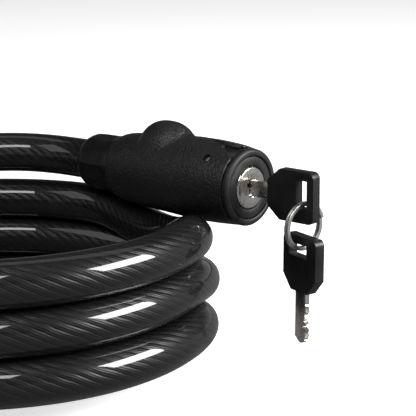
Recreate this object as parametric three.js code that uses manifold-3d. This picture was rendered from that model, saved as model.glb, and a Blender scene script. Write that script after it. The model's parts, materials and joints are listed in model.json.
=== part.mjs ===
// Key-operated cable lock for luggage: a thick jacketed cable wound in a coil, a tubular lock
// head on one end, a grooved bolt on the other, and two keys on a split ring.
// Millimetres, +Z up. The origin is on the coil's resting face, on the middle circle of its turns.
import * as THREE from 'three';
import { mergeVertices } from 'three/addons/utils/BufferGeometryUtils.js';
import Module from 'manifold-3d';

const wasm = await Module();
wasm.setup();

// ---------------------------------------------------------------- driving dimensions
const GAP = 0.3; // clearance between pieces that touch or slide

const CABLE_D = 18; // over the jacket
const COIL_R = 88; // middle circle of the turns
const COIL_WIDTH = 21; // the ring that holds one column of turns
const COIL_START = 100; // degrees round from +X, where the coil takes over from the lead
const LAPS = 3; // turns of cable in the coil
const STEADY_FALL = 0.5; // the share of a turn's fall made before the dip under the head
const TURN_GAP = 1.1; // between turns where they lie loose
const TOP_LIFT = 3.5; // the stiff joint holds the first turn above the others

const HEAD_TURN = -41.5; // degrees about Z, from +X to the head's axis
const HEAD_RISE = 0.7; // degrees, nose up
const HEAD_BASE = [42.9, 73.7, 66.1]; // middle of the boot's rear end, from the coil's axis on the floor
const HEAD_LENGTH = 94.2; // rear of the boot to the face
const SHELL_R_REAR = 15.9;
const SHELL_R_MIDDLE = 17.6;
const FACE_R = 16.2;
const BARREL_R = 14.6; // as far as the nose
const NOSE_R = 15.7; // bared by the cut-back
const BARREL_START = 34; // where the barrel reaches its full radius
const NOSE_START = 63;
const BOOT_LENGTH = 22;
const BOOT_R = 12.9;
const BOOT_FLARE = 1.3; // the boot widens to meet the shell
const CRIMP_R = 6.8;

const PLUG_R = 8.9;
const PLUG_LENGTH = 27;
const CASE_WALL = 2.6;
const BEZEL_R = 13;
const FACE_RING_DEPTH = 2.7;
const WAFERS = 5;
const WAFER_PITCH = 3.9;
const WAFER_THICK = 1.2;

const PORT_X = 46.5; // the bolt goes in across the head, under the hump
const PORT_Z = 3.5;
const HUMP_SIZE = [14.2, 12.5, 15.2]; // half sizes of the rounded hump
const HUMP_Z = 8;

const BOLT_D = 12;
const BOLT_LENGTH = 34;
const GROOVE_DEPTH = 2;
const GROOVE_WIDTH = 4.5;
const GROOVE_FROM_TIP = 9.5;
const FERRULE_LENGTH = 22;
const LATCH_TRAVEL = 2.2; // lift that frees the bolt's groove

const BLADE_THICK = 2.2;
const BLADE_WIDTH = 7;
const BLADE_LENGTH = 22;
const BOW_LENGTH = 23.4;
const BOW_WIDTH = 21.2;
const BOW_THICK = 4.5;
const BOW_CHAMFER = [6.2, 5.2]; // along the key and across it
const KEY_SHOWN = 10.2; // blade left outside the face
const SLOT_WIDTH = 5.5;
const SLOT_LENGTH = 11.6;
const SLOT_EDGE = 3.3; // from the bow's outer edge
const SLOT_RISE = 1.2; // the slot sits above the blade's middle

const RING_D = 20.3;
const RING_BAND = 1.8;
const RING_HEIGHT = 2.4;
const RING_PLAY = 1; // room for the ring's curve where it bears on a slot's end
const RING_TURN = 40; // degrees about Z from the row's axes to the ring's plane
const SPARE_TURN = -56; // degrees about Z of the hanging key's flat side

const rad = THREE.MathUtils.degToRad;

// ---------------------------------------------------------------- materials
const finish = (color, roughness, metalness) =>
  new THREE.MeshStandardMaterial({ color, roughness, metalness });
const grained = finish(0x1c1c1d, 0.72, 0);
const moulded = finish(0x1a1a1b, 0.45, 0);
const jacket = finish(0x0b0b0c, 0.12, 0);
const nickel = finish(0xc9c6be, 0.28, 1);
const steel = finish(0xa9aaad, 0.34, 1);
const brass = finish(0xb59a5b, 0.38, 1);

// ---------------------------------------------------------------- solids
// A geometry as a solid: shared corners merged, slivers dropped, faces turned outwards.
function solid(geometry) {
  const bare = geometry.clone();
  bare.deleteAttribute('normal');
  bare.deleteAttribute('uv');
  const merged = mergeVertices(bare, 1e-4);
  const corners = merged.attributes.position.array;
  const index = merged.index.array;
  const kept = [];
  let volume = 0;
  const [a, b, c] = [new THREE.Vector3(), new THREE.Vector3(), new THREE.Vector3()];
  for (let i = 0; i < index.length; i += 3) {
    const [p, q, r] = index.slice(i, i + 3);
    if (p === q || q === r || r === p) continue;
    kept.push(p, q, r);
    a.fromArray(corners, 3 * p);
    b.fromArray(corners, 3 * q);
    c.fromArray(corners, 3 * r);
    volume += a.dot(b.cross(c));
  }
  if (volume < 0) kept.reverse();
  return new wasm.Manifold(new wasm.Mesh({
    numProp: 3,
    vertProperties: Float32Array.from(corners),
    triVerts: Uint32Array.from(kept),
  }));
}

function geometryOf(body) {
  const { vertProperties, triVerts } = body.getMesh();
  const geometry = new THREE.BufferGeometry();
  geometry.setAttribute('position', new THREE.BufferAttribute(Float32Array.from(vertProperties), 3));
  geometry.setIndex(new THREE.BufferAttribute(Uint32Array.from(triVerts), 1));
  geometry.computeVertexNormals();
  return geometry;
}

const join = (bodies) => bodies.reduce((whole, next) => whole.add(next));
const cut = (body, tools) => tools.reduce((left, tool) => left.subtract(tool), body);

// Solid of revolution about X. The profile holds [x, radius] pairs.
function turned(profile, sides = 40) {
  const closed = profile[0][1] === 0 ? profile : [...profile, profile[0]];
  const outline = closed.map(([x, r]) => new THREE.Vector2(r, x));
  return solid(new THREE.LatheGeometry(outline, sides).rotateZ(-Math.PI / 2));
}

const rod = (x0, x1, r, sides = 32) => turned([[x0, 0], [x0, r], [x1, r], [x1, 0]], sides);
const tube = (x0, x1, inner, outer, sides = 40) =>
  turned([[x0, inner], [x0, outer], [x1, outer], [x1, inner]], sides);

function box(low, high) {
  const size = high.map((v, i) => v - low[i]);
  const middle = high.map((v, i) => (v + low[i]) / 2);
  return solid(new THREE.BoxGeometry(...size).translate(...middle));
}

// A flat outline in X and Z, given a thickness along Y about its middle plane.
function plate(shape, thick) {
  const geometry = new THREE.ExtrudeGeometry(shape, { depth: thick, bevelEnabled: false, curveSegments: 6 });
  return solid(geometry.translate(0, 0, -thick / 2).rotateX(Math.PI / 2));
}

// A round bar along a smooth line through the given points.
function bar(points, r, steps, sides = 12) {
  const path = new THREE.CatmullRomCurve3(points.map((p) => new THREE.Vector3(...p)), false, 'centripetal');
  const section = new THREE.Shape();
  section.absarc(0, 0, r, 0, 2 * Math.PI);
  return solid(new THREE.ExtrudeGeometry(section, { steps, extrudePath: path, curveSegments: sides / 2 }));
}

// A closed loop of equal sections, each a list of [x, y, z] corners.
function loop(sections) {
  const count = sections[0].length;
  const index = [];
  sections.forEach((_, i) => {
    const next = (i + 1) % sections.length;
    for (let j = 0; j < count; j += 1) {
      const k = (j + 1) % count;
      const [a, b, c, d] = [i * count + j, i * count + k, next * count + k, next * count + j];
      index.push(a, b, c, a, c, d);
    }
  });
  const geometry = new THREE.BufferGeometry();
  geometry.setAttribute('position', new THREE.Float32BufferAttribute(sections.flat(2), 3));
  geometry.setIndex(index);
  return solid(geometry);
}

function piece(name, body, material, parent) {
  const mesh = new THREE.Mesh(geometryOf(body), material);
  mesh.name = name;
  parent.add(mesh);
}

// ---------------------------------------------------------------- frames
const lock = new THREE.Group();
lock.position.set(-COIL_R, 0, 0);
const head = new THREE.Group(); // +X runs from the boot to the face
head.position.set(...HEAD_BASE);
head.rotation.set(0, -rad(HEAD_RISE), rad(HEAD_TURN), 'ZYX');
lock.add(head);
head.updateMatrix();

// ---------------------------------------------------------------- cable
// Share of one turn's fall that is done at an angle past the coil's start.
function fallen(angle) {
  const steady = STEADY_FALL * THREE.MathUtils.smoothstep(angle, 0, 170);
  const dip = THREE.MathUtils.smoothstep(angle, 245, 305);
  return steady + (1 - STEADY_FALL) * dip;
}

// Height of the top turn's middle at an angle past the coil's start.
function cableHeight(angle) {
  const loose = THREE.MathUtils.smoothstep(angle, 60, 160) - THREE.MathUtils.smoothstep(angle, 235, 285);
  const lift = TOP_LIFT * Math.max(0, 1 - angle / 150);
  return CABLE_D * (LAPS - fallen(angle) + 0.5) + (LAPS - 1) * TURN_GAP * loose + lift;
}

// The cable's way out of the boot, straight at first, to the coil.
const LEAD = [
  [42.6, 73.98, 66.1],
  [38.1, 77.7, 66.0],
  [33.0, 81.6, 66.0],
  [26.7, 85.3, 66.1],
  [19.5, 88.1, 66.3],
  [11.5, 89.9, 66.5],
  [3.2, 90.3, 66.6],
  [-4.2, 89.4, 66.6],
  [-9.6, 88.3, 66.5],
  [-14.8, 87.35, 66.5],
];

// The free end runs out from under the turns and along the floor.
const TAIL = [
  [-16.8, 87.6, 9],
  [-27.5, 86.4, 9],
  [-38.5, 85.2, 9],
  [-50.0, 83.0, 9],
  [-61.0, 79.0, 9],
  [-71.5, 73.2, 9],
  [-81.0, 65.8, 9],
  [-89.4, 57.0, 9],
  [-96.5, 47.0, 9],
];

function cableCoil() {
  const [inner, outer] = [COIL_R - COIL_WIDTH / 2, COIL_R + COIL_WIDTH / 2];
  const edge = CABLE_D / 4;
  const sections = [];
  const step = 8;
  const section = (angle) => {
    const t = rad(COIL_START + angle);
    const top = cableHeight(angle) + CABLE_D / 2;
    const outline = [[inner, edge], [inner + edge, 0], [outer - edge, 0], [outer, edge],
      [outer, top - edge], [outer - edge, top], [inner + edge, top], [inner, top - edge]];
    return outline.map(([r, z]) => [r * Math.cos(t), r * Math.sin(t), z]);
  };
  for (let angle = 0; angle < 359; angle += step) sections.push(section(angle));
  sections.push(section(359.7));
  const headRoom = headSweep().transform(head.matrix.elements.slice());
  const tailRoom = bar([[2, 87, 9], ...TAIL], CABLE_D / 2 + GAP, 20);
  return cut(loop(sections), [headRoom, tailRoom]);
}

// The space that the head fills, with a clearance all round.
function headSweep() {
  const room = 0.6;
  return turned([[-1, 0], [-1, BOOT_R + room], [BOOT_LENGTH - 6, BOOT_R + room],
    [BARREL_START - 4, SHELL_R_REAR + room], [NOSE_START - 3, SHELL_R_MIDDLE + room],
    [HEAD_LENGTH + 1, SHELL_R_MIDDLE + room], [HEAD_LENGTH + 1, 0]], 32);
}

// Pieces on the free end, drawn along +X from the end of the tail.
function freeEnd() {
  const end = new THREE.Group();
  const last = new THREE.Vector3(...TAIL.at(-1));
  const before = new THREE.Vector3(...TAIL.at(-2));
  end.position.copy(last);
  end.rotation.z = Math.atan2(last.y - before.y, last.x - before.x);
  lock.add(end);
  const r = BOLT_D / 2;
  piece('end_ferrule', turned([[GAP, 0], [GAP, CABLE_D / 2 - 0.6], [FERRULE_LENGTH - 5, CABLE_D / 2 - 0.2],
    [FERRULE_LENGTH, r + 1.4], [FERRULE_LENGTH, 0]], 24), moulded, end);
  const x = FERRULE_LENGTH + GAP;
  const tip = x + BOLT_LENGTH;
  const front = tip - GROOVE_FROM_TIP;
  const back = front - GROOVE_WIDTH;
  const neck = r - GROOVE_DEPTH;
  piece('locking_bolt', turned([[x, 0], [x, r], [back, r], [back, neck], [front, neck],
    [front, r], [tip - 3, r], [tip - 1, r - 1.3], [tip, r - 3.4], [tip, 0]], 24), steel, end);
}

// ---------------------------------------------------------------- lock head
const boreR = PLUG_R + GAP + CASE_WALL + GAP;
const portR = BOLT_D / 2 + 0.7;
const plugStart = HEAD_LENGTH - PLUG_LENGTH;
const bodyEnd = HEAD_LENGTH - FACE_RING_DEPTH - GAP;
const PIN_X = HEAD_LENGTH - 14.2;
const PIN_LEAN = 43; // degrees from the top towards the near side
const PIN_R = 1.3;
const anchorX = BOOT_LENGTH + 5;
const crimpEnd = BOOT_LENGTH + 8.6;
const slotStart = HEAD_LENGTH - 16;
const slotEnd = HEAD_LENGTH - 5.6;
const slotHalf = 1.7;
const slotFloor = NOSE_R - 1.3;

// A bar pointing straight out of the head's axis at the retaining pin's place.
function pinBar(from, to, r) {
  const upright = solid(new THREE.CylinderGeometry(r, r, to - from, 20)
    .translate(0, (to + from) / 2, 0).rotateX(Math.PI / 2 + rad(PIN_LEAN)).translate(PIN_X, 0, 0));
  return upright;
}

function hump(shrink) {
  const [x, y, z] = HUMP_SIZE.map((v) => v - shrink);
  return solid(new THREE.SphereGeometry(1, 28, 18).rotateX(Math.PI / 2).scale(x, y, z)
    .translate(PORT_X + 0.4, 0, HUMP_Z));
}

// The pointed cut-back that bares the barrel on top of the nose.
function noseNotch() {
  const reach = 23.7;
  const tip = HEAD_LENGTH - reach;
  const half = 12.2;
  const side = (sign) => [0.12, 0.3, 0.5, 0.7, 0.85, 1].map((t) =>
    new THREE.Vector2(tip + reach * t ** 0.7, sign * half * t));
  const outline = [new THREE.Vector2(tip, 0), ...side(-1), ...side(1).reverse()];
  const shape = new THREE.Shape(outline);
  return solid(new THREE.ExtrudeGeometry(shape, { depth: 30, bevelEnabled: false }));
}

const acrossY = (y0, y1, r, x, z, sides = 32) =>
  solid(new THREE.CylinderGeometry(r, r, y1 - y0, sides).translate(x, (y0 + y1) / 2, z));

function outerShell() {
  const rear = BOOT_LENGTH + GAP;
  const skin = turned([[rear, BOOT_R + BOOT_FLARE + 0.2], [rear + 2, 15.1], [rear + 5, 15.6], [rear + 9, SHELL_R_REAR],
    [PORT_X, 16.9], [NOSE_START - 4, SHELL_R_MIDDLE], [NOSE_START + 10, SHELL_R_MIDDLE], [bodyEnd - 6, 17],
    [bodyEnd, NOSE_R + GAP + 0.5], [bodyEnd, 11.1], [rear, 11.1]], 48);
  const hollow = turned([[anchorX + 0.5, 0], [anchorX + 0.5, 10.8], [crimpEnd, 12.5], [BARREL_START, BARREL_R + GAP],
    [NOSE_START, BARREL_R + GAP], [NOSE_START, NOSE_R + GAP], [HEAD_LENGTH, NOSE_R + GAP], [HEAD_LENGTH, 0]], 48);
  const whole = cut(skin.add(hump(0)), [hollow, hump(1.8).subtract(rod(0, HEAD_LENGTH, 12))]);
  return cut(whole, [noseNotch(), pinBar(12, 20, PIN_R + 0.5), acrossY(4, 20, portR + 2.4, PORT_X, PORT_Z)]);
}

function barrelHousing() {
  const body = turned([[BOOT_LENGTH + 1, 0], [BOOT_LENGTH + 1, 10.8], [anchorX + 1, 10.8], [crimpEnd, 12.1],
    [BARREL_START, BARREL_R], [NOSE_START + GAP, BARREL_R], [NOSE_START + GAP, NOSE_R], [bodyEnd, NOSE_R],
    [bodyEnd, 0]], 48);
  const crimpRoom = turned([[BOOT_LENGTH, 0], [BOOT_LENGTH, 9.6], [crimpEnd + 0.4, 9.6], [crimpEnd + 0.4, 0]], 32);
  const camRoom = rod(plugStart - 6, plugStart + 0.5, PLUG_R + 0.6);
  const bore = rod(plugStart - 0.2, HEAD_LENGTH, boreR);
  const chamber = box([PORT_X - 9, -6.2, PORT_Z - 2], [plugStart - 2.4, 6.2, 20]);
  const port = acrossY(-10, 20, portR, PORT_X, PORT_Z);
  const collarSeat = acrossY(8.2, 20, portR + 2.4, PORT_X, PORT_Z);
  const bracketSlot = box([slotStart, -slotHalf, slotFloor], [slotEnd, slotHalf, 20]);
  const anchorHole = acrossY(-20, 20, 1.8, anchorX, 0, 16).rotate([90, 0, 0]);
  return cut(body, [crimpRoom, camRoom, bore, chamber, port, collarSeat, bracketSlot,
    pinBar(8, 20, PIN_R + GAP), anchorHole]);
}

// Lengthwise flats with a raised band, like a gripping collar.
function boot() {
  return cut(turned([[0, 0], [0, 10.6], [1.6, 11.9], [4, BOOT_R - 0.3], [8, BOOT_R], [BOOT_LENGTH - 5, BOOT_R],
    [BOOT_LENGTH, BOOT_R + BOOT_FLARE], [BOOT_LENGTH, 0]], 14),
    [rod(-1, BOOT_LENGTH + 1, CRIMP_R + GAP)]);
}

function crimp() {
  const body = turned([[0, 0], [0, CRIMP_R], [BOOT_LENGTH + 1.6, CRIMP_R], [BOOT_LENGTH + 1.6, 9.2],
    [crimpEnd, 9.2], [crimpEnd, 0]], 32);
  return cut(body, [acrossY(-20, 20, 1.8, anchorX, 0, 16).rotate([90, 0, 0])]);
}

const waferX = Array.from({ length: WAFERS }, (_, i) => plugStart + 5.5 + i * WAFER_PITCH);
const keyway = { y: BLADE_THICK / 2 + GAP, z: BLADE_WIDTH / 2 + GAP };

function cylinderPlug() {
  const body = turned([[plugStart, 0], [plugStart, PLUG_R], [HEAD_LENGTH - 0.6, PLUG_R],
    [HEAD_LENGTH, PLUG_R - 0.6], [HEAD_LENGTH, 0]], 48);
  const far = HEAD_LENGTH + 1;
  const near = plugStart + 3;
  const ways = [
    box([near, -keyway.y, -keyway.z], [far, keyway.y, keyway.z]),
    box([near, -keyway.y - 1.2, 0.4], [far, 0, 1.9]),
    box([near, 0, -2.4], [far, keyway.y + 1.1, -1]),
  ];
  const slots = waferX.map((x) => box([x - WAFER_THICK / 2 - GAP, -4, -PLUG_R - 1],
    [x + WAFER_THICK / 2 + GAP, 4, PLUG_R + 1]));
  return cut(body, [...ways, ...slots]);
}

function wafer(x, offset) {
  const half = WAFER_THICK / 2;
  const body = box([x - half, -3.6, -7.6 + offset], [x + half, 3.6, 7.6 + offset]);
  return cut(body, [box([x - 2, -keyway.y - 0.1, -keyway.z - 0.4], [x + 2, keyway.y + 0.1, keyway.z + 0.4])]);
}

// ---------------------------------------------------------------- keys
// A key drawn with its blade along -X and its bow along +X, shoulder at x = 0, flat sides facing Y.
function bladeSolid(seed) {
  const half = BLADE_WIDTH / 2;
  const outline = new THREE.Shape();
  outline.moveTo(6, -half + 0.4);
  outline.lineTo(-5, -half + 0.4);
  const cuts = 6;
  for (let i = 0; i < cuts; i += 1) {
    const x = -5.6 - i * 2.6;
    const depth = 0.5 + 0.5 * ((i * seed) % 4);
    outline.lineTo(x, -half);
    outline.lineTo(x - 0.8, -half + depth);
    outline.lineTo(x - 1.6, -half + depth);
  }
  outline.lineTo(-BLADE_LENGTH + 1.4, -half + 0.4);
  outline.lineTo(-BLADE_LENGTH, -0.8);
  outline.lineTo(-BLADE_LENGTH, 0.6);
  outline.lineTo(-BLADE_LENGTH + 2.2, half);
  outline.lineTo(6, half);
  const groove = box([-BLADE_LENGTH - 1, 0.5, 0.7], [-2, 3, 1.8]);
  return plate(outline, BLADE_THICK).subtract(groove);
}

function bowSolid() {
  const half = BOW_WIDTH / 2;
  const corner = 2.6;
  const outline = new THREE.Shape();
  const [along, across] = BOW_CHAMFER;
  outline.moveTo(0, -half + across);
  outline.lineTo(along, -half);
  outline.lineTo(BOW_LENGTH - corner, -half);
  outline.absarc(BOW_LENGTH - corner, -half + corner, corner, -Math.PI / 2, 0);
  outline.lineTo(BOW_LENGTH, half - corner);
  outline.absarc(BOW_LENGTH - corner, half - corner, corner, 0, Math.PI / 2);
  outline.lineTo(along, half);
  outline.lineTo(0, half - across);
  const slot = box([BOW_LENGTH - SLOT_EDGE - SLOT_WIDTH, -4, SLOT_RISE - SLOT_LENGTH / 2],
    [BOW_LENGTH - SLOT_EDGE, 4, SLOT_RISE + SLOT_LENGTH / 2]);
  const pocket = box([-1, -BLADE_THICK / 2 - GAP, -BLADE_WIDTH / 2 - GAP],
    [6 + GAP, BLADE_THICK / 2 + GAP, BLADE_WIDTH / 2 + GAP]);
  return cut(plate(outline, BOW_THICK), [slot, pocket]);
}

// ---------------------------------------------------------------- the lock head's pieces
piece('outer_shell', outerShell(), grained, head);
piece('barrel_housing', barrelHousing(), moulded, head);
piece('strain_relief_boot', boot(), moulded, head);
piece('cable_crimp', crimp(), steel, head);
piece('anchor_pin', solid(new THREE.CylinderGeometry(1.5, 1.5, 20.4, 16).rotateX(Math.PI / 2)
  .translate(anchorX, 0, 0)), steel, head);
piece('face_ring', turned([[bodyEnd + GAP, BEZEL_R + GAP], [bodyEnd + GAP, FACE_R], [HEAD_LENGTH - 0.8, FACE_R],
  [HEAD_LENGTH, FACE_R - 0.9], [HEAD_LENGTH, BEZEL_R + GAP + 0.3], [HEAD_LENGTH - 0.4, BEZEL_R + GAP]], 48),
moulded, head);
piece('bezel', tube(bodyEnd + GAP, HEAD_LENGTH - 0.5, PLUG_R + 0.4, BEZEL_R, 48), moulded, head);
piece('cylinder_case', cut(tube(plugStart + 0.4, bodyEnd, PLUG_R + GAP, PLUG_R + GAP + CASE_WALL, 44),
  [pinBar(6, 20, PIN_R + GAP)]), brass, head);
piece('retaining_pin', pinBar(PLUG_R + 0.8, SHELL_R_MIDDLE - 0.9, PIN_R), nickel, head);
piece('bolt_port_collar', acrossY(8.5, BARREL_R + 0.7, portR + 2.1, PORT_X, PORT_Z)
  .subtract(acrossY(0, 20, portR, PORT_X, PORT_Z)), steel, head);
piece('bracket_catch', box([bodyEnd - 1.9, -1.3, NOSE_R + GAP], [bodyEnd - 0.1, 1.3, FACE_R + 1]), moulded, head);

piece('cylinder_plug', cylinderPlug(), nickel, head);
waferX.forEach((x, i) => piece(`wafer_${i + 1}`, wafer(x, [0.3, -0.3, 0.2, -0.2, 0.3][i]), brass, head));

// The cam on the plug's rear end lifts the latch off the bolt's groove.
const camStart = plugStart - 2.2;
const camPinY = 5;
const camPinR = 1.2;
// The pin's top on its way round is never higher than this above the arm's own lift.
const armFoot = camPinY + camPinR - LATCH_TRAVEL + 0.45;
piece('cam', join([rod(camStart, plugStart - GAP, 7.6),
  rod(camStart - 3.2, camStart + 0.5, camPinR, 16).translate([0, camPinY, 0])])
  .subtract(rod(camStart - 4, plugStart, 1.9, 16)), steel, head);
piece('cam_screw', rod(camStart - 1.2, camStart - GAP, 2.9, 6).add(rod(camStart - 0.6, plugStart - GAP, 1.6, 16)),
  nickel, head);

const latchFoot = PORT_Z + BOLT_D / 2 + 1.1;
const springSeat = latchFoot + 1.6;
const armX = [camStart - 3.2, camStart - 1.6];
piece('latch', cut(join([
  box([PORT_X - 6.5, -5.2, latchFoot], [PORT_X + 5, 5.2, springSeat + 1.4]),
  box([PORT_X - 3.4, 0.4, PORT_Z + BOLT_D / 2 - GROOVE_DEPTH + GAP], [PORT_X + 3.4, 4.1, latchFoot + 1]),
  box([PORT_X + 4, -1.6, latchFoot - 2.4], [armX[1], 5, latchFoot + 0.4]),
  box([armX[0], -1.6, armFoot], [armX[1], 5, latchFoot]),
]), [box([PORT_X - 3, -3.1, springSeat], [PORT_X + 3, 3.1, springSeat + 3])]), steel, head);
piece('latch_spring', tube(0, 5.2, 1.9, 2.6, 16).rotate([0, -90, 0])
  .translate([PORT_X, 0, springSeat + GAP]), steel, head);

// ---------------------------------------------------------------- keys and ring
const keyGroup = new THREE.Group();
keyGroup.position.x = HEAD_LENGTH + KEY_SHOWN;
head.add(keyGroup);
piece('key_blade', bladeSolid(3), nickel, keyGroup);
piece('key_bow', bowSolid(), moulded, keyGroup);

// The ring hangs in the first key's slot, and the spare key hangs on the ring.
const slotX = HEAD_LENGTH + KEY_SHOWN + BOW_LENGTH - SLOT_EDGE - SLOT_WIDTH / 2;
const slotBottom = SLOT_RISE - SLOT_LENGTH / 2;
const ringR = RING_D / 2;
const hang = new THREE.Vector3(slotX, 0, slotBottom + RING_PLAY + RING_BAND).applyMatrix4(head.matrix);
const ringGroup = new THREE.Group();
ringGroup.position.copy(hang).add(new THREE.Vector3(0, 0, -ringR));
ringGroup.rotation.z = rad(RING_TURN);
lock.add(ringGroup);
piece('key_ring', tube(-RING_HEIGHT / 2, RING_HEIGHT / 2, ringR - RING_BAND, ringR, 48)
  .rotate([0, 0, 90]), steel, ringGroup);

const spare = new THREE.Group();
spare.position.copy(ringGroup.position)
  .add(new THREE.Vector3(0, 0, -ringR + RING_BAND + RING_PLAY - BOW_LENGTH + SLOT_EDGE));
spare.rotation.set(0, -Math.PI / 2, rad(SPARE_TURN), 'ZYX');
lock.add(spare);
piece('spare_key_blade', bladeSolid(5), nickel, spare);
piece('spare_key_bow', bowSolid(), moulded, spare);

// ---------------------------------------------------------------- cable pieces
piece('cable_lead', bar(LEAD, CABLE_D / 2, 16), jacket, lock);
piece('cable_coil', cableCoil(), jacket, lock);
piece('cable_tail', bar(TAIL, CABLE_D / 2, 18), jacket, lock);
freeEnd();

export default lock;
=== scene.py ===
"""A key-operated cable lock for luggage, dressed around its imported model.

A thick jacketed steel cable lies in three turns. One end runs into a tubular lock head with a
key in its plug, the other ends in a moulded sleeve and a grooved bolt. A spare key hangs on a
split ring. Lengths inside the builders are millimetres; every finished mesh is in metres.
"""

from __future__ import annotations

import json
import logging
import math
from dataclasses import dataclass, field
from enum import Enum
from typing import Any, Sequence

import bmesh
import bpy
import numpy as np
from mathutils import Matrix, Vector

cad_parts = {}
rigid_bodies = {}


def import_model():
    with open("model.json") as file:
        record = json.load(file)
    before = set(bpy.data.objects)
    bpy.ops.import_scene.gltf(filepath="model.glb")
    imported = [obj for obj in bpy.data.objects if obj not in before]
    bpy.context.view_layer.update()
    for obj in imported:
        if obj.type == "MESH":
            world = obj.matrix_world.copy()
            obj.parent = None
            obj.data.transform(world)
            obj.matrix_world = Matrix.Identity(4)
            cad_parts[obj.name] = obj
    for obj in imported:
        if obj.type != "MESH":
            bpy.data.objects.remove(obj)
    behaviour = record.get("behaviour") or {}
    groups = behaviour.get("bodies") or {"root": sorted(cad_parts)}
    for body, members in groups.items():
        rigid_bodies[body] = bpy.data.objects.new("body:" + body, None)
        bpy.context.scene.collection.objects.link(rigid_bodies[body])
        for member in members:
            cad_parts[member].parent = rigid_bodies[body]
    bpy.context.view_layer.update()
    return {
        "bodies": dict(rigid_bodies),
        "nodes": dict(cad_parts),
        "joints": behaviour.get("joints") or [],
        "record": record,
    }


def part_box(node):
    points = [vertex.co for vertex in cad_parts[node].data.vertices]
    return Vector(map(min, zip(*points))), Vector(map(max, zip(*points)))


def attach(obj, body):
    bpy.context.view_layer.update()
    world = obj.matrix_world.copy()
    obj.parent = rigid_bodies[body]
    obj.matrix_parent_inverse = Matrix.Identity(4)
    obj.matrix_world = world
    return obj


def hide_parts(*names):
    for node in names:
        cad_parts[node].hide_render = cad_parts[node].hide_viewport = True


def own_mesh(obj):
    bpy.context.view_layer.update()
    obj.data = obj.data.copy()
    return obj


LOG = logging.getLogger("cable_lock")
MM = 0.001
Point = Sequence[float]


class Body(str, Enum):
    """The bodies that a piece can ride on."""

    HEAD = "head"
    PLUG = "plug"
    LATCH = "latch"
    KEY = "key"
    RING = "ring"
    SPARE = "spare_key"


class Slot(str, Enum):
    """The record's material slots."""

    GRAINED = "grained_shell"
    MOULDED = "black_moulding"
    KEY = "key_plastic"
    JACKET = "cable_jacket"
    NICKEL = "nickel"
    STEEL = "steel"
    BRASS = "brass"


# ------------------------------------------------------------------ frames
def frame_at(origin: Point, *turns: tuple[float, str]) -> Matrix:
    """Place millimetre geometry in the row frame.

    Args:
        origin: The frame's origin in the row frame, in millimetres.
        *turns: Rotations as (degrees, axis letter), the outermost first.

    Returns:
        The matrix from local millimetres to metres in the row frame.
    """
    turned = Matrix.Identity(4)
    for degrees, axis in turns:
        turned = turned @ Matrix.Rotation(math.radians(degrees), 4, axis)
    return Matrix.Scale(MM, 4) @ Matrix.Translation(origin) @ turned


COIL_CENTRE_X = -88.0
HEAD_TURNS = ((-41.5, "Z"), (-0.7, "Y"))
HEAD_FRAME = frame_at((-45.1, 73.7, 66.1), *HEAD_TURNS)


# ------------------------------------------------------------------ shader graphs
class Value:
    """A number socket that adds Math nodes when it takes part in an expression."""

    def __init__(self, graph: Graph, socket: bpy.types.NodeSocket) -> None:
        """Wrap a socket of the graph."""
        self.graph = graph
        self.socket = socket

    def _math(self, operation: str, left: Any, right: Any) -> Value:
        """Add one Math node."""
        return self.graph.node("ShaderNodeMath", {"operation": operation}, {0: left, 1: right}).out()

    def __add__(self, other: Any) -> Value:
        """Add."""
        return self._math("ADD", self, other)

    __radd__ = __add__

    def __sub__(self, other: Any) -> Value:
        """Subtract."""
        return self._math("SUBTRACT", self, other)

    def __rsub__(self, other: Any) -> Value:
        """Subtract from a number."""
        return self._math("SUBTRACT", other, self)

    def __mul__(self, other: Any) -> Value:
        """Multiply."""
        return self._math("MULTIPLY", self, other)

    __rmul__ = __mul__

    def __pow__(self, other: Any) -> Value:
        """Raise to a power."""
        return self._math("POWER", self, other)

    def __abs__(self) -> Value:
        """Take the size."""
        return self._math("ABSOLUTE", self, 0.0)

    def sine(self) -> Value:
        """Take the sine of radians."""
        return self._math("SINE", self, 0.0)


class Made:
    """A node that was just added, with easy access to what it gives."""

    def __init__(self, graph: Graph, node: bpy.types.Node) -> None:
        """Wrap a node of the graph."""
        self.graph = graph
        self.node = node

    def out(self, name: int | str = 0) -> Value:
        """Wrap one of the node's outputs."""
        return Value(self.graph, self.node.outputs[name])


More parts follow.
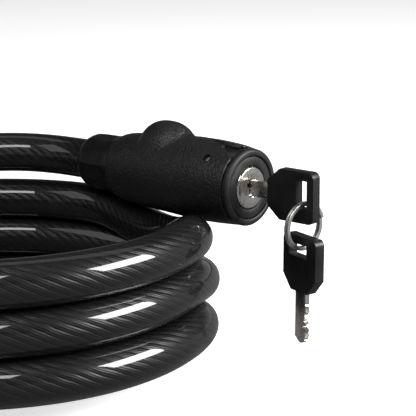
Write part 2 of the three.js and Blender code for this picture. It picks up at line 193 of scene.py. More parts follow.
class Graph:
    """The node tree of one material."""

    def __init__(self, name: str) -> None:
        """Start an empty material.

        Args:
            name: The material's name.
        """
        self.material = bpy.data.materials.new(name)
        self.material.use_nodes = True
        self.tree = self.material.node_tree
        self.tree.nodes.clear()

    def node(self, kind: str, settings: dict[str, Any] | None = None,
             sockets: dict[int | str, Any] | None = None) -> Made:
        """Add a node.

        Args:
            kind: The node's type name.
            settings: Properties to set first; "stops" fills a colour ramp.
            sockets: Values or links by socket name or index.

        Returns:
            The wrapped node.
        """
        made = self.tree.nodes.new(kind)
        for key, value in (settings or {}).items():
            if key == "stops":
                ramp = made.color_ramp.elements
                while len(ramp) < len(value):
                    ramp.new(0.5)
                for stop, (position, colour) in zip(ramp, value):
                    stop.position = position
                    stop.color = colour if len(colour) == 4 else (*colour, 1)
            else:
                setattr(made, key, value)
        for key, value in (sockets or {}).items():
            if isinstance(value, Value):
                self.tree.links.new(value.socket, made.inputs[key])
            else:
                made.inputs[key].default_value = value
        return Made(self, made)

    def place(self, scale: Point = (1, 1, 1), turn: Point = (0, 0, 0), offset: Point = (0, 0, 0)) -> Value:
        """Give Object coordinates, mapped."""
        source = self.node("ShaderNodeTexCoord").out("Object")
        return self.node("ShaderNodeMapping", {}, {
            "Vector": source, "Scale": tuple(scale), "Rotation": tuple(turn), "Location": tuple(offset)}).out()

    def noise(self, vector: Value, scale: float, detail: float = 2.0, roughness: float = 0.5) -> Value:
        """Give noise from 0 to 1 at a scale per metre."""
        return self.node("ShaderNodeTexNoise", {}, {
            "Vector": vector, "Scale": scale, "Detail": detail, "Roughness": roughness}).out("Fac")

    def cells(self, vector: Value, scale: float, feature: str = "F1") -> Value:
        """Give the distance to scattered points."""
        made = self.node("ShaderNodeTexVoronoi", {"feature": feature}, {"Vector": vector, "Scale": scale})
        return made.out("Distance")

    def ramp(self, value: Value, stops: Sequence[tuple[float, Point]]) -> Value:
        """Turn a number into a colour."""
        return self.node("ShaderNodeValToRGB", {"stops": stops}, {0: value}).out("Color")

    def band(self, value: Value, low: float, high: float, to_low: float = 0.0, to_high: float = 1.0) -> Value:
        """Map a range smoothly onto another."""
        return self.node("ShaderNodeMapRange", {"interpolation_type": "SMOOTHSTEP"}, {
            "Value": value, "From Min": low, "From Max": high, "To Min": to_low, "To Max": to_high}).out()

    def mix(self, share: Value | float, first: Any, second: Any) -> Value:
        """Mix two colours."""
        made = self.node("ShaderNodeMix", {"data_type": "RGBA"}, {0: share})
        for index, value in ((6, first), (7, second)):
            if isinstance(value, Value):
                self.tree.links.new(value.socket, made.node.inputs[index])
            else:
                made.node.inputs[index].default_value = (*value, 1)
        return made.out(2)

    def bump(self, height: Value, distance: float, strength: float = 1.0, under: Value | None = None) -> Value:
        """Turn a height into a normal."""
        sockets: dict[int | str, Any] = {"Height": height, "Distance": distance, "Strength": strength}
        if under is not None:
            sockets["Normal"] = under
        return self.node("ShaderNodeBump", {}, sockets).out()

    def surface(self, **sockets: Any) -> bpy.types.Material:
        """Finish the material with one Principled shader.

        Args:
            **sockets: The shader's inputs, with _ for each blank.

        Returns:
            The finished material.
        """
        named = {key.replace("_", " ").title().replace("Ior", "IOR"): value for key, value in sockets.items()}
        for key, value in named.items():
            if isinstance(value, tuple) and len(value) == 3:
                named[key] = (*value, 1)
        shader = self.node("ShaderNodeBsdfPrincipled", {}, named)
        self.node("ShaderNodeOutputMaterial", {}, {"Surface": shader.out()})
        return self.material


# ------------------------------------------------------------------ finishes
@dataclass(frozen=True)
class SparkGrainedPlastic:
    """Black plastic moulded in a spark-eroded tool: a fine dry grain."""

    name: str = "spark_grained_black"
    colour: tuple[float, float, float] = (0.0085, 0.0085, 0.0088)
    grain_per_m: float = 900.0
    grain_depth: float = 0.0004

    def make(self) -> bpy.types.Material:
        """Build the material."""
        graph = Graph(self.name)
        place = graph.place()
        fine = graph.noise(place, self.grain_per_m, 3.0, 0.62)
        pits = graph.band(graph.cells(place, self.grain_per_m * 0.8), 0.12, 0.55)
        cloud = graph.noise(place, 60.0, 3.0)
        grain = fine * 0.65 + pits * 0.35
        tone = graph.ramp(cloud * 0.45 + fine * 0.55, (
            (0.3, tuple(c * 0.72 for c in self.colour)),
            (0.55, self.colour),
            (0.78, tuple(c * 1.75 for c in self.colour))))
        return graph.surface(
            base_color=tone,
            roughness=graph.band(cloud * 0.5 + fine * 0.5, 0.25, 0.75, 0.34, 0.54),
            normal=graph.bump(grain, self.grain_depth, 1.0),
            specular_ior_level=0.5)


@dataclass(frozen=True)
class MouldedPlastic:
    """Black satin plastic with faint flow marks and handling scuffs."""

    name: str = "satin_black"
    colour: tuple[float, float, float] = (0.006, 0.006, 0.0062)
    roughness: tuple[float, float] = (0.26, 0.40)
    grain_depth: float = 0.00002

    def make(self) -> bpy.types.Material:
        """Build the material."""
        graph = Graph(self.name)
        place = graph.place()
        fine = graph.noise(place, 2600.0, 2.0, 0.6)
        cloud = graph.noise(place, 110.0, 4.0, 0.55)
        scuff = graph.band(graph.noise(graph.place((40, 900, 260), (0.3, 0.5, 0.9)), 1.0, 2.0), 0.62, 0.7)
        tone = graph.ramp(cloud, (
            (0.3, tuple(c * 0.8 for c in self.colour)), (0.7, tuple(c * 1.3 for c in self.colour))))
        return graph.surface(
            base_color=graph.mix(scuff * 0.25, tone, tuple(c * 2.4 for c in self.colour)),
            roughness=graph.band(cloud + scuff * 0.25, 0.3, 0.9, *self.roughness),
            normal=graph.bump(fine, self.grain_depth, 0.5),
            specular_ior_level=0.5)


@dataclass(frozen=True)
class WireRopeJacket:
    """Clear-skinned black jacket: the rope's wires glint under a glossy coat, with painted shade in the grooves
    between them.
    """

    name: str = "glossy_rope_jacket"
    colour: tuple[float, float, float] = (0.010, 0.010, 0.0104)
    wires: int = 17
    lay_per_m: float = 175.0
    wire_depth: float = 0.0006

    def make(self) -> bpy.types.Material:
        """Build the material from the cable's UV map: u once around, v in metres."""
        graph = Graph(self.name)
        uv = graph.node("ShaderNodeUVMap", {"uv_map": "run"}).out()
        split = graph.node("ShaderNodeSeparateXYZ", {}, {0: uv})
        around, along = split.out("X"), split.out("Y")
        place = graph.place()
        wobble = graph.noise(place, 90.0, 2.0) * 0.5
        phase = around * float(self.wires) + along * self.lay_per_m + wobble
        wire = abs((phase * math.pi).sine())
        fine = abs((phase * (3.0 * math.pi) + 0.7).sine())
        height = wire * 0.75 + fine * 0.25
        # Painted shade: the base colour is darkened in the grooves between the wires.
        groove_shade = graph.band(wire, 0.0, 0.45)
        cloud = graph.noise(place, 35.0, 3.0)
        groove_shade_colour = tuple(c * 0.3 for c in self.colour)
        tone = graph.mix(groove_shade * graph.band(cloud, 0.3, 0.7, 0.55, 1.0), groove_shade_colour, self.colour)
        return graph.surface(
            base_color=tone,
            metallic=0.3,
            roughness=graph.band(fine, 0.0, 1.0, 0.46, 0.34),
            normal=graph.bump(height, self.wire_depth, 0.5),
            coat_weight=1.0,
            coat_roughness=0.035,
            coat_ior=1.45,
            specular_ior_level=0.3)


@dataclass(frozen=True)
class Metal:
    """A plated or plain metal with drawn scratches and a soft stain."""

    name: str
    colour: tuple[float, float, float]
    stain: tuple[float, float, float]
    roughness: tuple[float, float] = (0.16, 0.32)
    scratch: tuple[float, float, float] = (300.0, 3000.0, 3000.0)
    turn: tuple[float, float, float] = (0.0, 0.0, -0.724)
    depth: float = 0.000012

    def make(self) -> bpy.types.Material:
        """Build the material."""
        graph = Graph(self.name)
        lines = graph.noise(graph.place(self.scratch, self.turn), 1.0, 3.0, 0.6)
        cloud = graph.noise(graph.place(), 240.0, 3.0)
        return graph.surface(
            base_color=graph.mix(graph.band(cloud, 0.45, 0.75, 0.0, 0.7), self.colour, self.stain),
            metallic=1.0,
            roughness=graph.band(lines * 0.6 + cloud * 0.4, 0.3, 0.7, *self.roughness),
            normal=graph.bump(lines, self.depth, 0.6))


@dataclass(frozen=True)
class PaleFloor:
    """A plain matt floor with a trace of unevenness."""

    name: str = "pale_floor"

    def make(self) -> bpy.types.Material:
        """Build the material."""
        graph = Graph(self.name)
        cloud = graph.noise(graph.place(), 3.0, 2.0)
        pale = graph.node("ShaderNodeBsdfDiffuse", {}, {
            "Color": graph.ramp(cloud, ((0.3, (0.86, 0.86, 0.86)), (0.7, (0.9, 0.9, 0.9))))})
        glow = graph.node("ShaderNodeEmission", {}, {"Color": (1, 1, 1, 1), "Strength": 0.65})
        lit = graph.node("ShaderNodeAddShader", {}, {0: pale.out(), 1: glow.out()})
        dim = graph.node("ShaderNodeBsdfDiffuse", {}, {"Color": (0.16, 0.16, 0.16, 1)})
        seen = graph.node("ShaderNodeLightPath").out("Is Camera Ray")
        both = graph.node("ShaderNodeMixShader", {}, {0: seen, 1: dim.out(), 2: lit.out()})
        graph.node("ShaderNodeOutputMaterial", {}, {"Surface": both.out()})
        return graph.material


@dataclass
class Finishes:
    """Every finish of the lock, made once."""

    made: dict[str, bpy.types.Material] = field(default_factory=dict)

    def get(self, finish: Any) -> bpy.types.Material:
        """Give a finish's material, building it the first time."""
        if finish.name not in self.made:
            self.made[finish.name] = finish.make()
        return self.made[finish.name]


GRAINED = SparkGrainedPlastic()
MOULDED = MouldedPlastic()
BEZEL_BLACK = MouldedPlastic("bezel_black", (0.006, 0.006, 0.0062), (0.46, 0.6), 0.00005)
KEY_BLACK = MouldedPlastic("key_black", (0.0055, 0.0055, 0.0057), (0.38, 0.54), 0.00005)
JACKET = WireRopeJacket()
NICKEL = Metal("nickel_plate", (0.74, 0.71, 0.665), (0.36, 0.31, 0.25))
STEEL = Metal("bright_steel", (0.62, 0.61, 0.59), (0.50, 0.49, 0.47), (0.30, 0.42))
BRASS = Metal("rolled_brass", (0.70, 0.53, 0.26), (0.48, 0.34, 0.15), (0.24, 0.42))


# ------------------------------------------------------------------ mesh making
def eased(value: float, low: float, high: float) -> float:
    """How far a value is from low to high, from 0 to 1, with a soft start and end."""
    share = min(max((value - low) / (high - low), 0.0), 1.0)
    return share * share * (3 - 2 * share)


def smooth(mesh: bpy.types.Mesh, corner: float = 35.0) -> bpy.types.Mesh:
    """Shade a mesh smooth, with a break where it turns more than a corner in degrees."""
    mesh.shade_smooth()
    mesh.set_sharp_from_angle(angle=math.radians(corner))
    return mesh


def mesh_of(name: str, points: np.ndarray, faces: Sequence[Sequence[int]],
            frame: Matrix | None = None) -> bpy.types.Mesh:
    """Make a mesh.

    Args:
        name: The mesh's name.
        points: Corners, one row each.
        faces: Corner numbers of each face.
        frame: Where it goes, or None if it is in place.

    Returns:
        The mesh, with its normals outwards.
    """
    mesh = bpy.data.meshes.new(name)
    mesh.from_pydata([tuple(p) for p in points], [], [tuple(f) for f in faces])
    if frame is not None:
        mesh.transform(frame)
    shape = bmesh.new()
    shape.from_mesh(mesh)
    bmesh.ops.recalc_face_normals(shape, faces=shape.faces)
    shape.to_mesh(mesh)
    shape.free()
    return smooth(mesh)


def loft(name: str, rings: np.ndarray, frame: Matrix | None = None, closed: bool = True,
         capped: bool = False) -> bpy.types.Mesh:
    """Skin equal closed rings.

    Args:
        name: The mesh's name.
        rings: An array of rings, points and coordinates.
        frame: Where it goes.
        closed: Whether the last ring joins the first.
        capped: Whether the two ends get a face.

    Returns:
        The mesh.
    """
    count, sides = rings.shape[:2]
    faces: list[Sequence[int]] = []
    for i in range(count if closed else count - 1):
        here, there = i * sides, ((i + 1) % count) * sides
        for j in range(sides):
            k = (j + 1) % sides
            faces.append((here + j, here + k, there + k, there + j))
    if capped:
        faces += [tuple(range(sides))[::-1], tuple(range((count - 1) * sides, count * sides))]
    return mesh_of(name, rings.reshape(-1, 3), faces, frame)


def link(name: str, mesh: bpy.types.Mesh) -> bpy.types.Object:
    """Put a mesh into the scene as an object at the origin."""
    made = bpy.data.objects.new(name, mesh)
    bpy.context.scene.collection.objects.link(made)
    return made


def applied(made: bpy.types.Object) -> bpy.types.Mesh:
    """Give what an object's modifiers make of it, and remove the object."""
    bpy.context.view_layer.update()
    seen = made.evaluated_get(bpy.context.evaluated_depsgraph_get())
    mesh = bpy.data.meshes.new_from_object(seen)
    bpy.data.objects.remove(made)
    return mesh


def softened(node: bpy.types.Object, width: float, segments: int = 2, corner: float = 28.0,
             slotted: bool = False) -> bpy.types.Mesh:
    """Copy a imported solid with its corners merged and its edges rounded.

    Args:
        node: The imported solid.
        width: How far the rounding reaches, in millimetres.
        segments: Faces across each rounded edge.
        corner: Edges that turn more than this many degrees are rounded.
        slotted: Whether its flats have holes through them, so that they can't be merged.

    Returns:
        The mesh, in place.
    """
    mesh = node.data.copy()
    mesh.materials.clear()
    for layer in [a.name for a in mesh.attributes if a.name == "custom_normal"]:
        mesh.attributes.remove(mesh.attributes[layer])
    shape = bmesh.new()
    shape.from_mesh(mesh)
    bmesh.ops.remove_doubles(shape, verts=shape.verts, dist=2e-6)
    if not slotted:
        bmesh.ops.dissolve_limit(shape, angle_limit=math.radians(0.8), verts=shape.verts, edges=shape.edges)
    shape.to_mesh(mesh)
    shape.free()
    made = link("soften", mesh)
    bevel = made.modifiers.new("round", "BEVEL")
    bevel.width = width * MM
    bevel.segments = segments
    bevel.limit_method = "ANGLE"
    bevel.angle_limit = math.radians(corner)
    bevel.use_clamp_overlap = True
    bevel.miter_outer = "MITER_ARC"
    return smooth(applied(made), 42.0)


@dataclass
class Bench:
    """Where pieces are dressed, named and set riding."""

    frame: dict[str, Any]
    finishes: Finishes

    def fit(self, name: str, mesh: bpy.types.Mesh, body: Body, slot: Slot, finish: Any,
            *nodes: str) -> bpy.types.Object:
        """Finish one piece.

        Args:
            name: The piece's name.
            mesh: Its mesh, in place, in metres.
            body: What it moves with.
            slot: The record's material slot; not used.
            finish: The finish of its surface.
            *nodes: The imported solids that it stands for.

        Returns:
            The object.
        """
        mesh.materials.clear()
        mesh.materials.append(self.finishes.get(finish))
        mesh.name = name
        made = link(name, mesh)
        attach(made, body.value)
        if nodes:
            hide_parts(*nodes)
        LOG.info("%s: %d faces on %s", name, len(mesh.polygons), body.value)
        return made

    def soften(self, node: str, width: float, body: Body, slot: Slot, finish: Any, segments: int = 2,
               corner: float = 28.0, slotted: bool = False) -> bpy.types.Object:
        """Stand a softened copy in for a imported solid."""
        mesh = softened(self.frame["nodes"][node], width, segments, corner, slotted)
        return self.fit(f"{node}_rounded", mesh, body, slot, finish, node)


# ------------------------------------------------------------------ windings
class WindingTree:
    """A wire of rounded section wound round an axis, as a node tree."""

    SIZES = ("Radius", "Pitch", "Turns", "Width", "Thickness", "Rounding")

    def __init__(self) -> None:
        """Build the tree."""
        self.tree = bpy.data.node_groups.new("winding", "GeometryNodeTree")
        face = self.tree.interface
        self.ids: dict[str, str] = {}
        for name in self.SIZES:
            socket = face.new_socket(name, in_out="INPUT", socket_type="NodeSocketFloat")
            self.ids[name] = socket.identifier
        finish = face.new_socket("Finish", in_out="INPUT", socket_type="NodeSocketMaterial")
        self.ids["Finish"] = finish.identifier
        face.new_socket("Geometry", in_out="OUTPUT", socket_type="NodeSocketGeometry")
        self._wire()

    def _add(self, kind: str, **settings: Any) -> bpy.types.Node:
        """Add a node with its settings."""
        node = self.tree.nodes.new(kind)
        for key, value in settings.items():
            setattr(node, key, value)
        return node

    def _wire(self) -> None:
        """Add and join the nodes."""
        join = self.tree.links.new
        given = self._add("NodeGroupInput")
        spiral = self._add("GeometryNodeCurveSpiral")
        spiral.inputs["Resolution"].default_value = 72
        height = self._add("ShaderNodeMath", operation="MULTIPLY")
        join(given.outputs["Pitch"], height.inputs[0])
        join(given.outputs["Turns"], height.inputs[1])
        join(given.outputs["Turns"], spiral.inputs["Rotations"])
        join(given.outputs["Radius"], spiral.inputs["Start Radius"])
        join(given.outputs["Radius"], spiral.inputs["End Radius"])
        join(height.outputs[0], spiral.inputs["Height"])
        upright = self._add("GeometryNodeSetCurveNormal")
        mode = upright.inputs.get("Mode")
        if mode is not None:
            mode.default_value = "Z Up"
        else:
            upright.mode = "Z_UP"
        join(spiral.outputs[0], upright.inputs[0])
        section = self._add("GeometryNodeCurvePrimitiveQuadrilateral")
        join(given.outputs["Width"], section.inputs["Width"])
        join(given.outputs["Thickness"], section.inputs["Height"])
        round_off = self._add("GeometryNodeFilletCurve", mode="POLY")
        round_off.inputs["Count"].default_value = 4
        join(section.outputs[0], round_off.inputs[0])
        join(given.outputs["Rounding"], round_off.inputs["Radius"])
        sweep = self._add("GeometryNodeCurveToMesh")
        sweep.inputs["Fill Caps"].default_value = True
        join(upright.outputs[0], sweep.inputs["Curve"])
        join(round_off.outputs[0], sweep.inputs["Profile Curve"])
        real = self._add("GeometryNodeRealizeInstances")
        dress = self._add("GeometryNodeSetMaterial")
        out = self._add("NodeGroupOutput")
        join(sweep.outputs[0], real.inputs[0])
        join(real.outputs[0], dress.inputs["Geometry"])
        join(given.outputs["Finish"], dress.inputs["Material"])
        join(dress.outputs[0], out.inputs[0])

    def wind(self, sizes: dict[str, float], finish: bpy.types.Material, frame: Matrix) -> bpy.types.Mesh:
        """Wind one wire.

        Args:
            sizes: A value for each of SIZES, in millimetres.
            finish: The wire's material.
            frame: Where the winding's axis, its Z, goes.

        Returns:
            The mesh, in place.
        """
        made = link("winding", bpy.data.meshes.new("winding"))
        modifier = made.modifiers.new("winding", "NODES")
        modifier.node_group = self.tree
        for name, value in sizes.items():
            modifier[self.ids[name]] = value
        modifier[self.ids["Finish"]] = finish
        mesh = applied(made)
        mesh.transform(frame)
        return smooth(mesh, 40.0)


# ------------------------------------------------------------------ cable
@dataclass
class CableRun:
    """The jacketed cable, from the lock head through the turns to its free end."""

    diameter: float = 18.0
    coil_radius: float = 88.0
    coil_start: float = 100.0
    laps: int = 3
    steady_fall: float = 0.46
    turn_gap: float = 0.12
    top_lift: float = 3.5
    sidestep: float = 4.3
    bulge: tuple[float, ...] = (3.0, 3.0, 6.0)
    sides: int = 32
    step: float = 3.0
    lead: tuple[Point, ...] = (
        (44.4, 72.4, 66.12), (42.6, 73.98, 66.1), (38.1, 77.7, 66.0), (33.0, 81.6, 66.0), (26.7, 85.3, 66.1),
        (19.5, 88.1, 66.3), (11.5, 89.9, 66.5), (3.2, 90.3, 66.6), (-4.2, 89.4, 66.6), (-9.6, 88.3, 66.5))
    tail: tuple[Point, ...] = (
        (-27.5, 86.4, 9), (-38.5, 85.2, 9), (-50.0, 83.0, 9), (-61.0, 79.0, 9), (-71.5, 73.2, 9),
        (-81.0, 65.8, 9), (-89.4, 57.0, 9), (-96.5, 47.0, 9))

    def under_head(self, bearing: float) -> float:
        """How far the turns have to nest under the lock head, from 0 to 1, at a bearing in degrees."""
        bearing = (bearing + 180) % 360 - 180
        return min(eased(bearing, -22, 28), eased(-bearing, -66, -36))

    def on_coil(self, angle: float) -> Point:
        """The cable's middle at an angle past the start of the coil, round the coil's axis."""
        lap = min(int(angle // 360), self.laps - 1)
        bearing, done = self.coil_start + angle, angle - 360 * lap
        nest = self.under_head(bearing)
        side = -1 if lap % 2 == 0 else 1
        bulge = self.bulge[lap] * eased(done, 150, 230) * (1 - nest) * (1 - eased(done, 290, 320))
        radius = self.coil_radius + side * self.sidestep * nest + bulge
        loose = eased(done, 60, 160) * (1 - eased(done, 235, 285)) * (1 - nest)
        pitch = math.sqrt(self.diameter**2 - (2 * self.sidestep * nest) ** 2) + self.turn_gap * loose
        fallen = self.steady_fall * eased(done, 0, 170) + (1 - self.steady_fall) * eased(done, 245, 305)
        lowest = self.diameter * (1 - fallen) * (1 - nest) + self.diameter / 2
        height = lowest + (self.laps - 1 - lap) * pitch + self.top_lift * max(0.0, 1 - angle / 150)
        turn = math.radians(bearing)
        return (radius * math.cos(turn), radius * math.sin(turn), height)

    def route(self) -> np.ndarray:
        """Give the centreline as evenly spaced points in metres, in the row frame."""
        turns = [self.on_coil(a) for a in np.arange(4, 360 * self.laps - 3, 8.0)]
        marks = np.array([*self.lead, *turns, *self.tail], float)
        fine: list[np.ndarray] = []
        padded = np.vstack([2 * marks[0] - marks[1], marks, 2 * marks[-1] - marks[-2]])
        for before, here, there, after in zip(padded, padded[1:], padded[2:], padded[3:]):
            for t in np.linspace(0, 1, 12, endpoint=False):
                slope = there - before
                bend = 2 * before - 5 * here + 4 * there - after
                twist = 3 * here - before - 3 * there + after
                fine.append(here + 0.5 * (slope * t + bend * t**2 + twist * t**3))
        line = np.array([*fine, marks[-1]])
        reach = np.concatenate([[0], np.cumsum(np.linalg.norm(np.diff(line, axis=0), axis=1))])
        even = np.linspace(0, reach[-1], int(reach[-1] / self.step) + 1)
        line = np.column_stack([np.interp(even, reach, line[:, i]) for i in range(3)])
        for _ in range(12):
            line[1:-1] = line[1:-1] * 0.5 + (line[:-2] + line[2:]) * 0.25
        line[:, 0] += COIL_CENTRE_X
        return line * MM

    def tube(self, line: np.ndarray) -> bpy.types.Mesh:
        """Skin the cable round its centreline, with a UV map that runs along it."""
        ahead = np.gradient(line, axis=0)
        ahead /= np.linalg.norm(ahead, axis=1)[:, None]
        side = np.cross(ahead[0], (0, 0, 1.0))
        radius = self.diameter / 2 * MM
        around = np.linspace(0, 2 * math.pi, self.sides, endpoint=False)
        rings, sides_kept = [], []
        for here, forward in zip(line, ahead):
            side = side - forward * side.dot(forward)
            side /= np.linalg.norm(side)
            up = np.cross(side, forward)
            rings.append([here + radius * (math.cos(a) * side + math.sin(a) * up) for a in around])
            sides_kept.append(side)
        mesh = loft("cable", np.array(rings), closed=False, capped=True)
        reach = np.concatenate([[0], np.cumsum(np.linalg.norm(np.diff(line, axis=0), axis=1))])
        layer = mesh.uv_layers.new(name="run")
        for face in mesh.polygons:
            corners = [(i, mesh.loops[i].vertex_index) for i in face.loop_indices]
            turns = [v % self.sides for _, v in corners]
            wraps = len(corners) == 4 and max(turns) - min(turns) > self.sides / 2
            for (loop, vertex), turn in zip(corners, turns):
                u = turn / self.sides + (1 if wraps and turn < self.sides / 2 else 0)
                layer.data[loop].uv = (u, float(reach[vertex // self.sides]))
        return mesh

    def build(self, bench: Bench) -> None:
        line = self.route()
        cable = bench.fit("jacketed_cable", self.tube(line), Body.HEAD, Slot.JACKET, JACKET,
                          "cable_lead", "cable_coil", "cable_tail")
        sleeve = bench.soften("end_ferrule", 0.8, Body.HEAD, Slot.MOULDED, MOULDED, 3)
        bolt = bench.soften("locking_bolt", 0.25, Body.HEAD, Slot.STEEL, STEEL, 2)


# ------------------------------------------------------------------ lock head
@dataclass
class HeadShell:
    """The grained shell: a swelling tube with a rounded hump and a pointed cut-back on the nose."""

    profile: tuple[tuple[float, float], ...] = (
        (22.3, 14.5), (23.9, 15.0), (26.9, 15.5), (30, 15.8), (34, 16.05), (38, 16.4), (46, 16.9),
        (56, 17.3), (63, 17.6), (74, 17.6), (80, 17.35), (86, 16.95), (89.2, 16.7), (91.2, 16.5))
    hump_middle: tuple[float, float] = (46.9, 8.0)
    hump_size: tuple[float, float, float] = (14.2, 12.6, 15.2)
    fillet: float = 1.5
    ridge: float = 0.35
    nose: float = 91.2
    cut_back: float = 70.5
    cut_half: float = 12.2
    cut_length: float = 23.7
    cut_power: float = 0.7
    inner: tuple[tuple[float, float], ...] = (
        (22.3, 11.1), (28, 11.1), (30.6, 12.5), (34, 14.9), (63, 14.9), (64, 15.85), (91.2, 15.85))
    lip: float = 0.45
    pin_along: float = 80.0
    pin_lean: float = 43.0
    latch_along: float = 45.75
    bolt_place: Point = (46.5, 0.0, 3.5)
    sides: int = 240
    rows: int = 150

    def radius(self, along: np.ndarray, around: np.ndarray) -> np.ndarray:
        """The outer radius at a place along the head and an angle from its top."""
        marks = np.arange(15, 100, 0.25)
        raw = np.interp(marks, *np.array(self.profile).T)
        kernel = np.hanning(15)
        eased = np.convolve(np.pad(raw, 7, mode="edge"), kernel / kernel.sum(), mode="valid")
        tube = np.interp(along, marks, eased) + self.ridge * np.cos(around) * np.clip((along - 30) / 20, 0, 1)
        middle, rise = self.hump_middle
        a, b, c = self.hump_size
        run = 1 - np.abs((along - middle) / a) ** 2.4
        p = (np.sin(around) / b) ** 2 + (np.cos(around) / c) ** 2
        q = -2 * np.cos(around) * rise / c**2
        r = (rise / c) ** 2 - run
        under = np.maximum(q * q - 4 * p * r, 0)
        hump = np.where(run > 0, (-q + np.sqrt(under)) / (2 * p), 0)
        hump = np.where((q * q - 4 * p * r > 0) & (run > 0), hump, 0)
        blend = np.clip(0.5 + 0.5 * (hump - tube) / self.fillet, 0, 1)
        return tube * (1 - blend) + hump * blend + self.fillet * blend * (1 - blend)

    def front(self, around: np.ndarray) -> np.ndarray:
        """Where the shell ends at an angle from its top."""
        t = np.abs(np.sin(around)) * 17.0 / self.cut_half
        edge = self.cut_back + self.cut_length * t**self.cut_power
        return np.where(np.cos(around) > 0, np.minimum(edge, self.nose), self.nose)

    def mesh(self) -> bpy.types.Mesh:
        """Build the shell as a closed wall."""
        around = np.linspace(0, 2 * math.pi, self.sides, endpoint=False)
        front = self.front(around)
        start = self.profile[0][0]
        rings = []

        def ring(along: np.ndarray, radius: np.ndarray) -> None:
            """Add one ring."""
            rings.append(np.stack([along, radius * np.sin(around), radius * np.cos(around)], axis=1))

        lip = self.lip
        for t in np.linspace(0, 1, self.rows):
            along = (start + lip) + (front - lip - start - lip) * t
            ring(along, self.radius(along, around))
        inner = np.interp(front, *np.array(self.inner).T)
        outer = self.radius(front - lip, around)
        for turn in np.linspace(0, math.pi / 2, 5)[1:]:
            ring(front - lip + lip * math.sin(turn), outer - lip * (1 - math.cos(turn)))
        ring(front, inner + 0.15)
        for t in np.linspace(1, 0, 40):
            along = start + (front - start) * t
            ring(along, np.interp(along, *np.array(self.inner).T))
        at_start = np.full_like(around, start)
        back = self.radius(at_start + lip, around)
        ring(at_start, back - lip)
        ring(at_start + 0.15 * lip, back - 0.4 * lip)
        return loft("shell", np.array(rings))

    def build(self, bench: Bench) -> None:
        """Make the shell with the holes for the pin and the bolt, and the latch's room under the hump."""
        body = link("shell", self.mesh())
        cutters = []
        pin = Matrix.Translation((self.pin_along, 0, 0)) @ Matrix.Rotation(math.radians(self.pin_lean), 4, "X")
        latch = Matrix.Translation((self.latch_along, 0, 0))
        bolt = Matrix.Translation(self.bolt_place) @ Matrix.Rotation(-math.pi / 2, 4, "X")
        for name, radius, deep, high, place in (
                ("pin_hole", 1.75, 12.0, 22.0, pin),
                ("latch_room", 8.1, 8.0, 17.4, latch),
                ("bolt_hole", 8.9, 4.0, 24.0, bolt)):
            turn = np.linspace(0, 2 * math.pi, 48, endpoint=False)
            rings = [np.stack([radius * np.cos(turn), radius * np.sin(turn), np.full_like(turn, z)], axis=1)
                     for z in (deep, high)]
            cutter = link(name, loft(name, np.array(rings), place, closed=False, capped=True))
            cut = body.modifiers.new(name, "BOOLEAN")
            cut.operation, cut.solver, cut.object = "DIFFERENCE", "EXACT", cutter
            cutters.append(cutter)
        mesh = applied(body)
        for cutter in cutters:
            bpy.data.objects.remove(cutter)
        mesh.transform(HEAD_FRAME)
        bench.fit("grained_shell_body", smooth(mesh, 38.0), Body.HEAD, Slot.GRAINED, GRAINED, "outer_shell")


@dataclass
class Boot:
    """The gripping collar at the head's rear, with lengthwise flats."""

    profile: tuple[tuple[float, float], ...] = (
        (0.0, 9.2), (0.1, 10.2), (0.5, 10.9), (1.2, 11.5), (2.2, 12.05), (3.4, 12.5), (5.0, 12.75), (8.0, 12.9),
        (12.0, 12.95), (15.5, 12.95), (18.0, 13.1), (20.0, 13.55), (21.4, 14.05), (21.9, 14.0), (22.0, 13.6))
    length: float = 22.0
    flats: int = 13
    flatness: float = 0.020
    bore: float = 8.6
    sides: int = 208

    def build(self, bench: Bench) -> None:
        """Make the collar."""
        around = np.linspace(0, 2 * math.pi, self.sides, endpoint=False)
        per = 2 * math.pi / self.flats
        off = (around % per) - per / 2
        flat = np.cos(per / 2) / np.cos(off)
        depth = (1 - flat) / (1 - np.cos(per / 2))
        rings = []
        for along, radius in self.profile:
            share = min(max((along - 1.5) / 3.0, 0), 1) * min(max((self.length + 0.6 - along) / 2.0, 0), 1)
            r = radius * (1 - self.flatness * share * depth**1.3)
            rings.append(np.stack([np.full_like(around, along), r * np.sin(around), r * np.cos(around)], axis=1))
        for along in (self.length, 0.0):
            r = self.bore
            rings.append(np.stack([np.full_like(around, along), r * np.sin(around), r * np.cos(around)], axis=1))
        mesh = loft("boot", np.array(rings), HEAD_FRAME)
        bench.fit("gripping_collar", smooth(mesh, 40), Body.HEAD, Slot.MOULDED, MOULDED, "strain_relief_boot")


@dataclass
class LockHead:
    """Everything on the head but the shell and the cable."""

    rounding: dict[str, tuple[float, Slot, Any]] = field(default_factory=lambda: {
        "barrel_housing": (0.25, Slot.MOULDED, MOULDED),
        "face_ring": (0.45, Slot.MOULDED, BEZEL_BLACK),
        "bezel": (0.3, Slot.MOULDED, BEZEL_BLACK),
        "bracket_catch": (0.25, Slot.MOULDED, MOULDED),
        "cable_crimp": (0.2, Slot.STEEL, STEEL),
        "anchor_pin": (0.2, Slot.STEEL, STEEL),
        "cylinder_case": (0.2, Slot.BRASS, BRASS),
        "retaining_pin": (0.3, Slot.NICKEL, NICKEL),
        "bolt_port_collar": (0.35, Slot.STEEL, STEEL),
    })

    def build(self, bench: Bench, winding: WindingTree) -> None:
        """Make the head's smaller pieces, the latch and its spring."""
        for node, (width, slot, finish) in self.rounding.items():
            bench.soften(node, width, Body.HEAD, slot, finish)
        bench.soften("latch", 0.2, Body.LATCH, Slot.STEEL, STEEL)
        low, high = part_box("latch_spring")
        middle = (low + high) / 2 / MM
        frame = frame_at(tuple(middle), *HEAD_TURNS) @ Matrix.Translation((0, 0, -2.3))
        sizes = {"Radius": 2.2, "Pitch": 0.92, "Turns": 5.0, "Width": 0.5, "Thickness": 0.5, "Rounding": 0.2}
        mesh = winding.wind(sizes, bench.finishes.get(STEEL), frame)
        spring = bench.fit("latch_spring_wound", mesh, Body.HEAD, Slot.STEEL, STEEL, "latch_spring")
        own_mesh(spring)


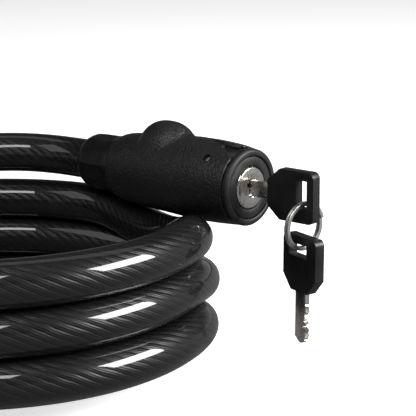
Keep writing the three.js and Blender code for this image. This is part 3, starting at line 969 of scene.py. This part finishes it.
@dataclass
class Plug:
    """The turning plug with its wafers, cam and screw."""

    wafers: int = 5

    def build(self, bench: Bench) -> None:
        """Make the plug's pieces."""
        bench.soften("cylinder_plug", 0.22, Body.PLUG, Slot.NICKEL, NICKEL)
        for number in range(1, self.wafers + 1):
            bench.soften(f"wafer_{number}", 0.12, Body.PLUG, Slot.BRASS, BRASS)
        bench.soften("cam", 0.2, Body.PLUG, Slot.STEEL, STEEL)
        bench.soften("cam_screw", 0.15, Body.PLUG, Slot.NICKEL, NICKEL)


@dataclass
class Keys:
    """The key in the lock, the split ring and the spare key."""

    ring_outer: float = 10.15
    band: float = 1.7
    lap: float = 1.1
    laps: float = 1.96

    def build(self, bench: Bench, winding: WindingTree) -> None:
        """Make both keys and the ring between them."""
        for prefix, body in (("key", Body.KEY), ("spare_key", Body.SPARE)):
            bench.soften(f"{prefix}_blade", 0.12, body, Slot.NICKEL, NICKEL)
            bench.soften(f"{prefix}_bow", 0.6, body, Slot.KEY, KEY_BLACK, 4, slotted=True)
        low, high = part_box("key_ring")
        middle = (low + high) / 2 / MM
        frame = frame_at(tuple(middle), (40, "Z"), (90, "X")) @ Matrix.Translation((0, 0, -self.lap))
        mesh = winding.wind({"Radius": self.ring_outer - self.band / 2, "Pitch": self.lap, "Turns": self.laps,
                             "Width": self.band, "Thickness": self.lap, "Rounding": 0.32},
                            bench.finishes.get(STEEL), frame)
        bench.fit("split_ring", mesh, Body.RING, Slot.STEEL, STEEL, "key_ring")


# ------------------------------------------------------------------ studio
@dataclass
class Studio:
    """The camera, the floor and the lights."""

    camera_place: Point = (0.00735, -0.5444, 0.1949)
    camera_tilt: float = 76.22
    lens: float = 118.97
    aim: Point = (0.0, 0.0, 0.05)

    def camera(self) -> None:
        """Set the camera."""
        data = bpy.data.cameras.new("camera")
        data.lens = self.lens
        data.sensor_width = 36.0
        data.clip_start = 0.02
        made = bpy.data.objects.new("camera", data)
        made.location = self.camera_place
        made.rotation_euler = (math.radians(self.camera_tilt), 0, 0)
        bpy.context.scene.collection.objects.link(made)
        bpy.context.scene.camera = made

    def floor(self, finishes: Finishes) -> None:
        """Lay the floor."""
        half = 6.0
        mesh = mesh_of("floor", np.array([(-half, -half, 0), (half, -half, 0), (half, half, 0), (-half, half, 0)]),
                       [(0, 1, 2, 3)])
        mesh.transform(Matrix.Translation((0, 0, -0.0004)))
        mesh.materials.append(finishes.get(PaleFloor()))
        made = link("floor", mesh)
        if made.data.polygons[0].normal.z < 0:
            made.data.flip_normals()

    def light(self, name: str, bearing: float, rise: float, away: float, size: tuple[float, float],
              watts: float) -> None:
        """Hang a soft box.

        Args:
            name: The light's name.
            bearing: Degrees from +X towards +Y.
            rise: Degrees above the floor.
            away: Metres from the lock.
            size: Width and height in metres.
            watts: Its power.
        """
        data = bpy.data.lights.new(name, "AREA")
        data.shape = "RECTANGLE"
        data.size, data.size_y = size
        data.energy = watts
        made = bpy.data.objects.new(name, data)
        b, e = math.radians(bearing), math.radians(rise)
        way = Vector((math.cos(b) * math.cos(e), math.sin(b) * math.cos(e), math.sin(e)))
        made.location = Vector(self.aim) + way * away
        made.rotation_euler = way.to_track_quat("Z", "Y").to_euler()
        bpy.context.scene.collection.objects.link(made)

    def sky(self) -> None:
        """Surround the scene with a soft room, dimmer overhead."""
        world = bpy.data.worlds.new("room")
        world.use_nodes = True
        nodes, links = world.node_tree.nodes, world.node_tree.links
        nodes.clear()
        place = nodes.new("ShaderNodeTexCoord")
        split = nodes.new("ShaderNodeSeparateXYZ")
        ramp = nodes.new("ShaderNodeValToRGB")
        ramp.color_ramp.elements[0].position = 0.0
        ramp.color_ramp.elements[0].color = (0.36, 0.36, 0.36, 1)
        ramp.color_ramp.elements[1].position = 0.3
        ramp.color_ramp.elements[1].color = (0.03, 0.03, 0.03, 1)
        back = nodes.new("ShaderNodeBackground")
        back.inputs["Strength"].default_value = 1.0
        out = nodes.new("ShaderNodeOutputWorld")
        links.new(place.outputs["Generated"], split.inputs[0])
        links.new(split.outputs["Z"], ramp.inputs[0])
        links.new(ramp.outputs[0], back.inputs["Color"])
        links.new(back.outputs[0], out.inputs[0])
        bpy.context.scene.world = world
        bpy.context.scene.view_settings.view_transform = "Standard"

    def build(self, finishes: Finishes) -> None:
        """Set up the whole studio."""
        self.camera()
        self.floor(finishes)
        self.sky()
        self.light("right_box", -12, 28, 1.3, (0.75, 0.5), 30)
        self.light("front_box", -104, 50, 1.3, (0.9, 0.3), 9)
        self.light("back_box", 90, 62, 1.6, (1.6, 0.5), 1.5)
        self.light("left_box", 195, 40, 1.5, (0.6, 0.8), 2)


def main() -> None:
    """Build the lock and its studio."""
    logging.basicConfig(level=logging.INFO, format="%(name)s: %(message)s")
    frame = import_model()
    finishes = Finishes()
    bench = Bench(frame, finishes)
    Studio().build(finishes)
    CableRun().build(bench)
    winding = WindingTree()
    HeadShell().build(bench)
    Boot().build(bench)
    LockHead().build(bench, winding)
    Plug().build(bench)
    Keys().build(bench, winding)


if __name__ == "__main__":
    main()
